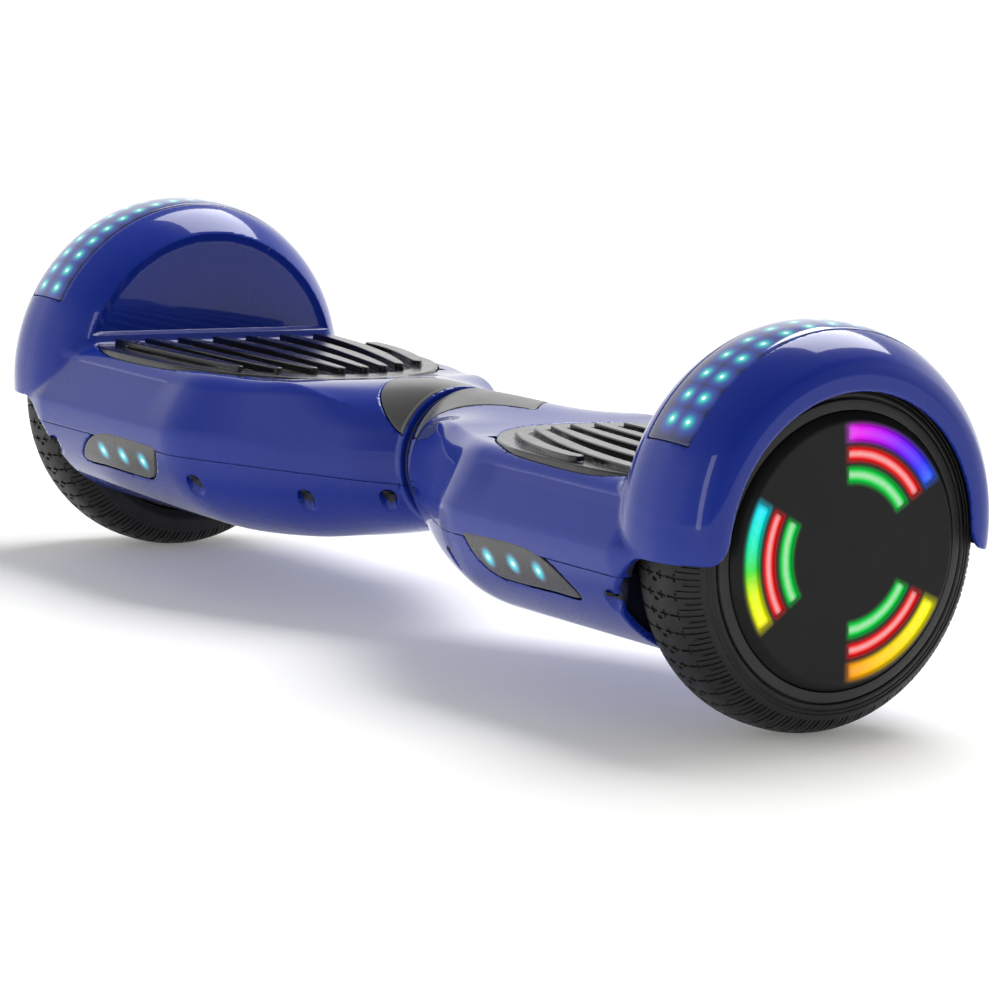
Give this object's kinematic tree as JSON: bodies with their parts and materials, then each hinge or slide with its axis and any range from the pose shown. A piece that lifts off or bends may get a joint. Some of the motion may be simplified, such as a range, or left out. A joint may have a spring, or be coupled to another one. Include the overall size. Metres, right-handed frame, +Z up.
{
  "type": "self balancing hoverboard",
  "caption": "Two-wheeled self balancing board: two halves that twist on a centre pivot, foot pads, mudguards over hub-motor wheels, head and top lights.",
  "frame": {"origin": "on the floor, midway between the two wheels and between front and rear", "axes": "+X from the left half to the right half (longest extent), -Y is the front with the headlights, +Z up"},
  "size_m": [0.588, 0.184, 0.1786],
  "materials": {
    "body_blue": "high gloss injection moulded cover, deep blue",
    "cap_grey": "satin grey plastic",
    "lamp_blue": "tinted translucent lens over rows of small lamps",
    "lamp_smoke": "grey translucent lens",
    "circuit_board": "solder-masked board",
    "cast_aluminium": "as cast",
    "steel": "turned",
    "copper_winding": "enamelled copper windings on a laminated core",
    "tyre_rubber": "solid rubber tyre with cut tread",
    "rim_black": "black painted cast hub",
    "disc_black": "satin black plastic cover",
    "light_guide": "coloured light guide",
    "pad_black": "moulded rubber with raised ribs",
    "battery_wrap": "shrink-wrapped pack",
    "seal_navy": "dark blue dust seal",
    "bush_bronze": "sintered bronze"
  },
  "bodies": {
    "left_half": {"left_upper_shell": "body_blue", "left_lower_shell": "body_blue", "left_neck_cap": "cap_grey", "left_light_bar_lens": "lamp_blue", "left_light_bar_board": "circuit_board", "left_headlight_lens": "lamp_smoke", "left_headlight_board": "circuit_board", "left_frame": "cast_aluminium", "left_axle_clamp": "steel", "left_gyro_board": "circuit_board", "left_motor_axle": "steel", "left_stator": "copper_winding", "battery_pack": "battery_wrap", "battery_strap": "steel", "pivot_shaft": "steel", "pivot_circlip": "steel", "neck_seal": "seal_navy"},
    "right_half": {"right_upper_shell": "body_blue", "right_lower_shell": "body_blue", "right_neck_cap": "cap_grey", "right_light_bar_lens": "lamp_blue", "right_light_bar_board": "circuit_board", "right_headlight_lens": "lamp_smoke", "right_headlight_board": "circuit_board", "right_frame": "cast_aluminium", "right_axle_clamp": "steel", "right_gyro_board": "circuit_board", "right_motor_axle": "steel", "right_stator": "copper_winding", "main_board": "circuit_board", "charge_port": "pad_black", "pivot_bush": "bush_bronze"},
    "left_wheel": {"left_tyre": "tyre_rubber", "left_rim": "rim_black", "left_magnet_ring": "steel", "left_motor_cover": "rim_black", "left_inner_bearing": "steel", "left_outer_bearing": "steel", "left_wheel_disc": "disc_black", "left_light_guide": "light_guide", "left_wheel_light_board": "circuit_board"},
    "right_wheel": {"right_tyre": "tyre_rubber", "right_rim": "rim_black", "right_magnet_ring": "steel", "right_motor_cover": "rim_black", "right_inner_bearing": "steel", "right_outer_bearing": "steel", "right_wheel_disc": "disc_black", "right_light_guide": "light_guide", "right_wheel_light_board": "circuit_board"},
    "left_pad": {"left_foot_pad": "pad_black", "left_front_plunger": "pad_black", "left_rear_plunger": "pad_black"},
    "right_pad": {"right_foot_pad": "pad_black", "right_front_plunger": "pad_black", "right_rear_plunger": "pad_black"},
    "power_button": {"power_button": "cap_grey"},
    "charge_flap": {"charge_flap": "pad_black"}
  },
  "joints": [
    {"name": "centre_pivot", "type": "hinge", "parent": "left_half", "child": "right_half", "pos_m": [0, 0, 0.0815], "axis": [1, 0, 0], "range_deg": [-12, 12]},
    {"name": "left_wheel_spin", "type": "hinge", "parent": "left_half", "child": "left_wheel", "pos_m": [-0.2625, 0, 0.08214], "axis": [1, 0, 0], "continuous": true},
    {"name": "right_wheel_spin", "type": "hinge", "parent": "right_half", "child": "right_wheel", "pos_m": [0.2625, 0, 0.08214], "axis": [1, 0, 0], "continuous": true},
    {"name": "left_pad_press", "type": "slide", "parent": "left_half", "child": "left_pad", "axis": [0, 0, -1], "range_m": [0, 0.0015], "stiffness_N_per_m": 20000},
    {"name": "right_pad_press", "type": "slide", "parent": "right_half", "child": "right_pad", "axis": [0, 0, -1], "range_m": [0, 0.0015], "stiffness_N_per_m": 20000},
    {"name": "power_button_press", "type": "slide", "parent": "right_half", "child": "power_button", "axis": [0, -1, 0], "range_m": [0, 0.0015], "stiffness_N_per_m": 800},
    {"name": "charge_flap_hinge", "type": "hinge", "parent": "right_half", "child": "charge_flap", "pos_m": [0.192, 0.0776, 0.0454], "axis": [-1, 0, 0], "range_deg": [0, 110]}
  ]
}
